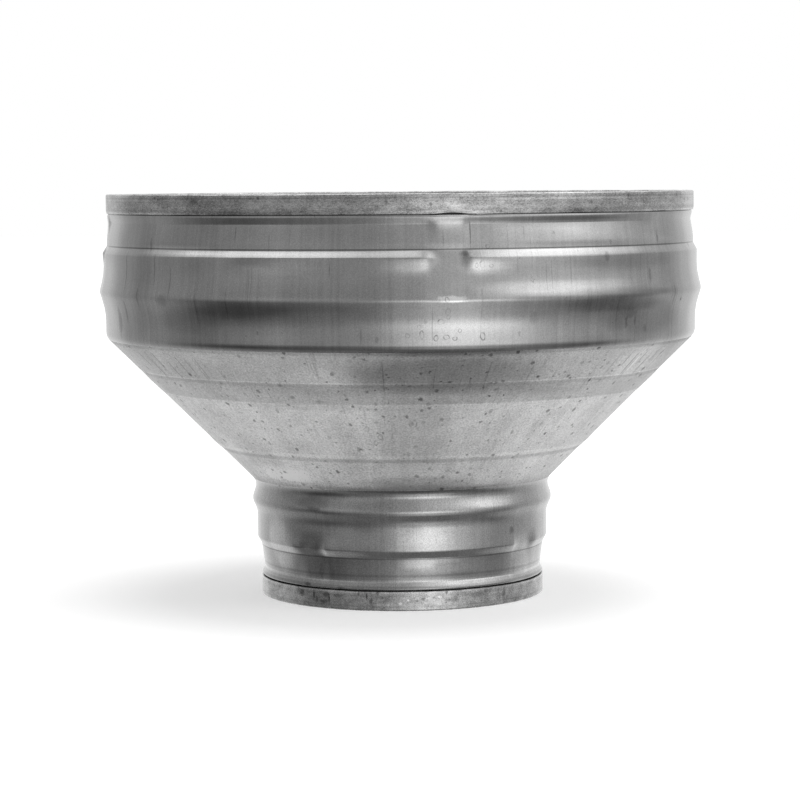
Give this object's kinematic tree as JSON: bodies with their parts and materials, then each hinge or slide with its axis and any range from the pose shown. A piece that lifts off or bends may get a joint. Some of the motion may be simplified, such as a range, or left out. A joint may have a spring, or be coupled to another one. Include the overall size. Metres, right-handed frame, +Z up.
{
  "type": "round duct reducer",
  "caption": "Round concentric duct reducer in galvanised sheet, with a straight cone between a large and a small male collar, each hemmed, grooved and beaded.",
  "frame": {"origin": "centre of the small end's rim, in the plane that the reducer stands on", "axes": "+Z up along the duct's axis, from the small end to the large end; X and Y lie in the plane of the small rim"},
  "size_m": [0.2528, 0.2526, 0.169],
  "materials": {
    "galvanised_sheet": "zinc-coated, satin on the collars and dull on the cone, with water stains"
  },
  "bodies": {
    "root": {"reducer_body": "galvanised_sheet"}
  },
  "joints": []
}
